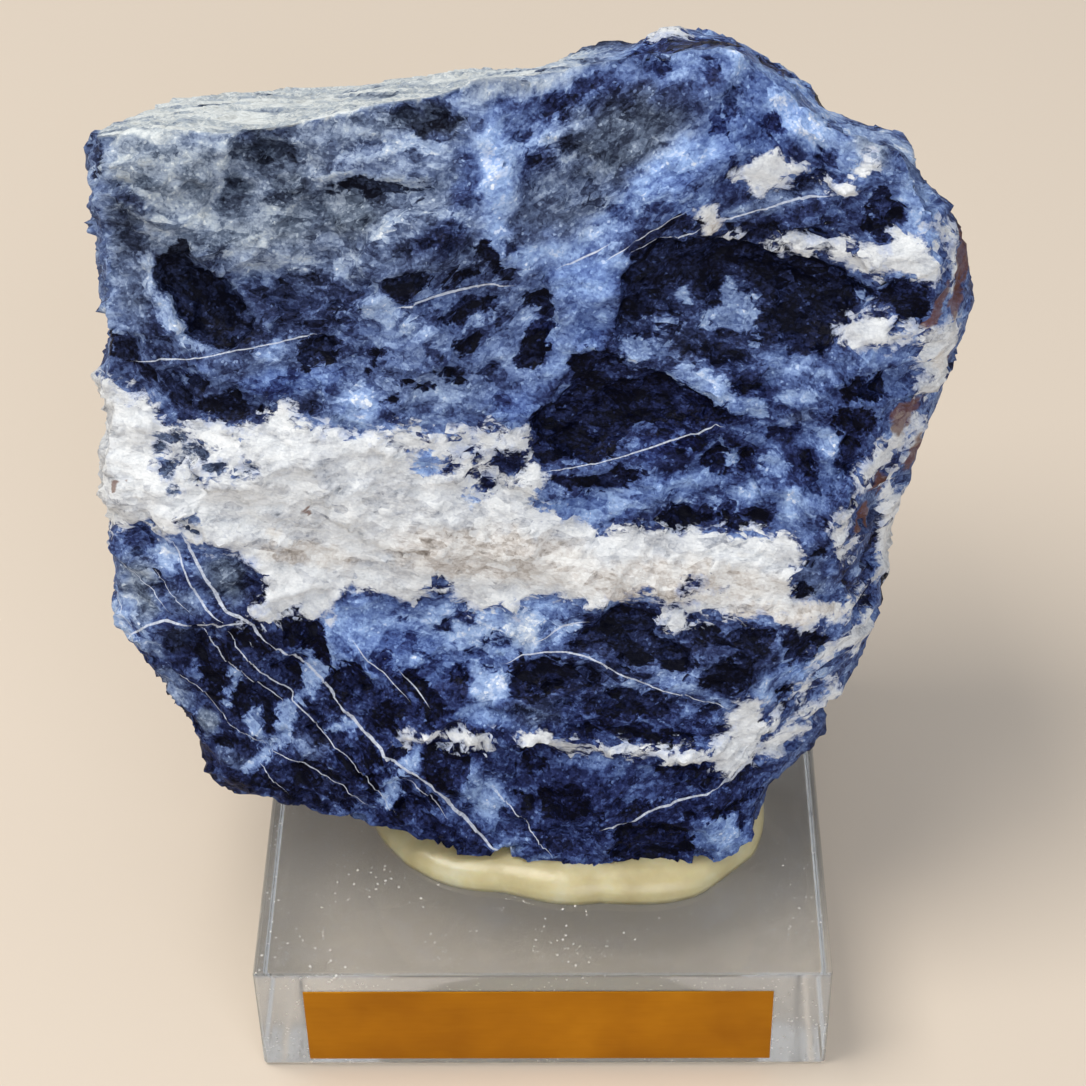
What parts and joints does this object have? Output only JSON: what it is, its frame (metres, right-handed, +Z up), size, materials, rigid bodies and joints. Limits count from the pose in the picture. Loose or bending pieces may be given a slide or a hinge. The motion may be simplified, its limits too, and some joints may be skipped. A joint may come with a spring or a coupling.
{
  "type": "mineral specimen on display block",
  "caption": "Rough slab of blue sodalite with a white band, glued upright and leaning back on a clear square display block with a gold foil strip on its front.",
  "frame": {"origin": "middle of the display block's underside", "axes": "+Z up, -Y towards the front face of the block and of the stone, +X to the right seen from the front"},
  "size_m": [0.0567, 0.0455, 0.0628],
  "materials": {
    "sodalite": "rough broken stone, vitreous on fresh chips",
    "glue": "set glue, cloudy and glossy",
    "acrylic": "clear and polished",
    "gold_foil": "satin foil"
  },
  "bodies": {
    "root": {"sodalite": "sodalite", "adhesive_bead": "glue", "acrylic_block": "acrylic", "label": "gold_foil"}
  },
  "joints": []
}
